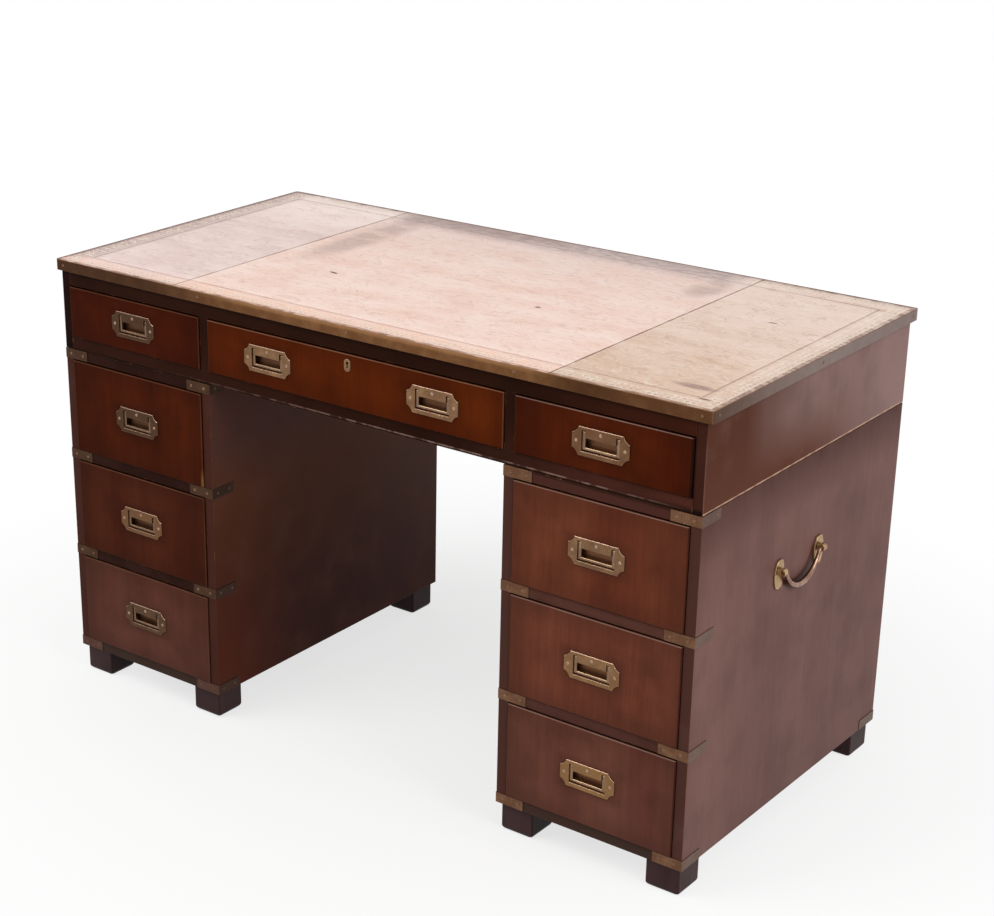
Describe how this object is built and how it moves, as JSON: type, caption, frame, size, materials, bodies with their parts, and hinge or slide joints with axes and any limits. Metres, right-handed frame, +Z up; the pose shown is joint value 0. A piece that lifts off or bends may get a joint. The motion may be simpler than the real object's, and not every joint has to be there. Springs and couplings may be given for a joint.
{
  "type": "campaign desk",
  "caption": "Campaign desk: drawer pedestals under a lift-off top section with more drawers, recessed swing handles, brass corner straps and side carrying handles.",
  "frame": {"origin": "on the floor, under the middle of the desk", "axes": "+X to the right seen from the front, +Y to the back, +Z up; the drawers open towards -Y"},
  "size_m": [1.28, 0.6288, 0.766],
  "materials": {
    "mahogany_veneer": "satin polish",
    "mahogany_panel": "satin polish",
    "mahogany_edge": "satin polish",
    "drawer_lining": "bare",
    "ebonised_wood": "satin",
    "desk_leather": "waxed, worn",
    "aged_brass": "dark patina",
    "bright_brass": "worn",
    "brass_screw": "worn"
  },
  "bodies": {
    "pedestals": {"pedestal_sides": "mahogany_panel", "pedestal_backs": "mahogany_panel", "pedestal_boards": "mahogany_edge", "pedestal_rails": "mahogany_edge", "pedestal_runners": "drawer_lining", "feet": "ebonised_wood", "locating_pegs": "drawer_lining", "corner_straps": "aged_brass", "strap_screws": "brass_screw", "carry_handle_plates": "bright_brass"},
    "top_section": {"top_board": "mahogany_edge", "leather_panels": "desk_leather", "edge_band": "aged_brass", "band_screws": "brass_screw", "section_ends": "mahogany_panel", "section_back": "mahogany_panel", "section_rails": "mahogany_edge", "section_runners": "drawer_lining"},
    "left_top_drawer": {"left_top_drawer_front": "mahogany_veneer", "left_top_drawer_box": "drawer_lining", "left_top_drawer_handle_plate": "bright_brass"},
    "left_top_drawer_bail": {"left_top_drawer_bail": "bright_brass"},
    "left_upper_drawer": {"left_upper_drawer_front": "mahogany_veneer", "left_upper_drawer_box": "drawer_lining", "left_upper_drawer_handle_plate": "bright_brass"},
    "left_upper_drawer_bail": {"left_upper_drawer_bail": "bright_brass"},
    "left_middle_drawer": {"left_middle_drawer_front": "mahogany_veneer", "left_middle_drawer_box": "drawer_lining", "left_middle_drawer_handle_plate": "bright_brass"},
    "left_middle_drawer_bail": {"left_middle_drawer_bail": "bright_brass"},
    "left_lower_drawer": {"left_lower_drawer_front": "mahogany_veneer", "left_lower_drawer_box": "drawer_lining", "left_lower_drawer_handle_plate": "bright_brass"},
    "left_lower_drawer_bail": {"left_lower_drawer_bail": "bright_brass"},
    "right_top_drawer": {"right_top_drawer_front": "mahogany_veneer", "right_top_drawer_box": "drawer_lining", "right_top_drawer_handle_plate": "bright_brass"},
    "right_top_drawer_bail": {"right_top_drawer_bail": "bright_brass"},
    "right_upper_drawer": {"right_upper_drawer_front": "mahogany_veneer", "right_upper_drawer_box": "drawer_lining", "right_upper_drawer_handle_plate": "bright_brass"},
    "right_upper_drawer_bail": {"right_upper_drawer_bail": "bright_brass"},
    "right_middle_drawer": {"right_middle_drawer_front": "mahogany_veneer", "right_middle_drawer_box": "drawer_lining", "right_middle_drawer_handle_plate": "bright_brass"},
    "right_middle_drawer_bail": {"right_middle_drawer_bail": "bright_brass"},
    "right_lower_drawer": {"right_lower_drawer_front": "mahogany_veneer", "right_lower_drawer_box": "drawer_lining", "right_lower_drawer_handle_plate": "bright_brass"},
    "right_lower_drawer_bail": {"right_lower_drawer_bail": "bright_brass"},
    "centre_drawer": {"centre_drawer_front": "mahogany_veneer", "centre_drawer_box": "drawer_lining", "centre_drawer_handle_plate": "bright_brass", "lock_case": "aged_brass", "escutcheon": "bright_brass"},
    "centre_drawer_left_bail": {"centre_drawer_left_bail": "bright_brass"},
    "centre_drawer_right_bail": {"centre_drawer_right_bail": "bright_brass"},
    "lock_bolt": {"lock_bolt": "aged_brass"},
    "right_carry_bail": {"right_carry_bail": "bright_brass"},
    "left_carry_bail": {"left_carry_bail": "bright_brass"}
  },
  "joints": [
    {"name": "top_section_lift", "type": "slide", "parent": "pedestals", "child": "top_section", "axis": [0, 0, 1], "range_m": [0, 0.06]},
    {"name": "left_top_drawer_slide", "type": "slide", "parent": "top_section", "child": "left_top_drawer", "axis": [0, -1, 0], "range_m": [0, 0.36]},
    {"name": "left_top_drawer_bail_hinge", "type": "hinge", "parent": "left_top_drawer", "child": "left_top_drawer_bail", "pos_m": [-0.4595, -0.3096, 0.6909], "axis": [-1, 0, 0], "range_deg": [0, 90]},
    {"name": "left_upper_drawer_slide", "type": "slide", "parent": "pedestals", "child": "left_upper_drawer", "axis": [0, -1, 0], "range_m": [0, 0.36]},
    {"name": "left_upper_drawer_bail_hinge", "type": "hinge", "parent": "left_upper_drawer", "child": "left_upper_drawer_bail", "pos_m": [-0.4595, -0.3096, 0.5228], "axis": [-1, 0, 0], "range_deg": [0, 90]},
    {"name": "left_middle_drawer_slide", "type": "slide", "parent": "pedestals", "child": "left_middle_drawer", "axis": [0, -1, 0], "range_m": [0, 0.36]},
    {"name": "left_middle_drawer_bail_hinge", "type": "hinge", "parent": "left_middle_drawer", "child": "left_middle_drawer_bail", "pos_m": [-0.4595, -0.3096, 0.34055], "axis": [-1, 0, 0], "range_deg": [0, 90]},
    {"name": "left_lower_drawer_slide", "type": "slide", "parent": "pedestals", "child": "left_lower_drawer", "axis": [0, -1, 0], "range_m": [0, 0.36]},
    {"name": "left_lower_drawer_bail_hinge", "type": "hinge", "parent": "left_lower_drawer", "child": "left_lower_drawer_bail", "pos_m": [-0.4595, -0.3096, 0.1598], "axis": [-1, 0, 0], "range_deg": [0, 90]},
    {"name": "right_top_drawer_slide", "type": "slide", "parent": "top_section", "child": "right_top_drawer", "axis": [0, -1, 0], "range_m": [0, 0.36]},
    {"name": "right_top_drawer_bail_hinge", "type": "hinge", "parent": "right_top_drawer", "child": "right_top_drawer_bail", "pos_m": [0.4595, -0.3096, 0.6909], "axis": [-1, 0, 0], "range_deg": [0, 90]},
    {"name": "right_upper_drawer_slide", "type": "slide", "parent": "pedestals", "child": "right_upper_drawer", "axis": [0, -1, 0], "range_m": [0, 0.36]},
    {"name": "right_upper_drawer_bail_hinge", "type": "hinge", "parent": "right_upper_drawer", "child": "right_upper_drawer_bail", "pos_m": [0.4595, -0.3096, 0.5228], "axis": [-1, 0, 0], "range_deg": [0, 90]},
    {"name": "right_middle_drawer_slide", "type": "slide", "parent": "pedestals", "child": "right_middle_drawer", "axis": [0, -1, 0], "range_m": [0, 0.36]},
    {"name": "right_middle_drawer_bail_hinge", "type": "hinge", "parent": "right_middle_drawer", "child": "right_middle_drawer_bail", "pos_m": [0.4595, -0.3096, 0.34055], "axis": [-1, 0, 0], "range_deg": [0, 90]},
    {"name": "right_lower_drawer_slide", "type": "slide", "parent": "pedestals", "child": "right_lower_drawer", "axis": [0, -1, 0], "range_m": [0, 0.36]},
    {"name": "right_lower_drawer_bail_hinge", "type": "hinge", "parent": "right_lower_drawer", "child": "right_lower_drawer_bail", "pos_m": [0.4595, -0.3096, 0.1598], "axis": [-1, 0, 0], "range_deg": [0, 90]},
    {"name": "centre_drawer_slide", "type": "slide", "parent": "top_section", "child": "centre_drawer", "axis": [0, -1, 0], "range_m": [0, 0.36]},
    {"name": "centre_drawer_left_bail_hinge", "type": "hinge", "parent": "centre_drawer", "child": "centre_drawer_left_bail", "pos_m": [-0.163, -0.3096, 0.6909], "axis": [-1, 0, 0], "range_deg": [0, 90]},
    {"name": "centre_drawer_right_bail_hinge", "type": "hinge", "parent": "centre_drawer", "child": "centre_drawer_right_bail", "pos_m": [0.163, -0.3096, 0.6909], "axis": [-1, 0, 0], "range_deg": [0, 90]},
    {"name": "lock_bolt_slide", "type": "slide", "parent": "centre_drawer", "child": "lock_bolt", "axis": [0, 0, 1], "range_m": [0, 0.008]},
    {"name": "right_carry_bail_hinge", "type": "hinge", "parent": "pedestals", "child": "right_carry_bail", "pos_m": [0.634, -0.011, 0.45], "axis": [0, -1, 0], "range_deg": [0, 100]},
    {"name": "left_carry_bail_hinge", "type": "hinge", "parent": "pedestals", "child": "left_carry_bail", "pos_m": [-0.634, -0.011, 0.45], "axis": [0, 1, 0], "range_deg": [0, 100]}
  ]
}
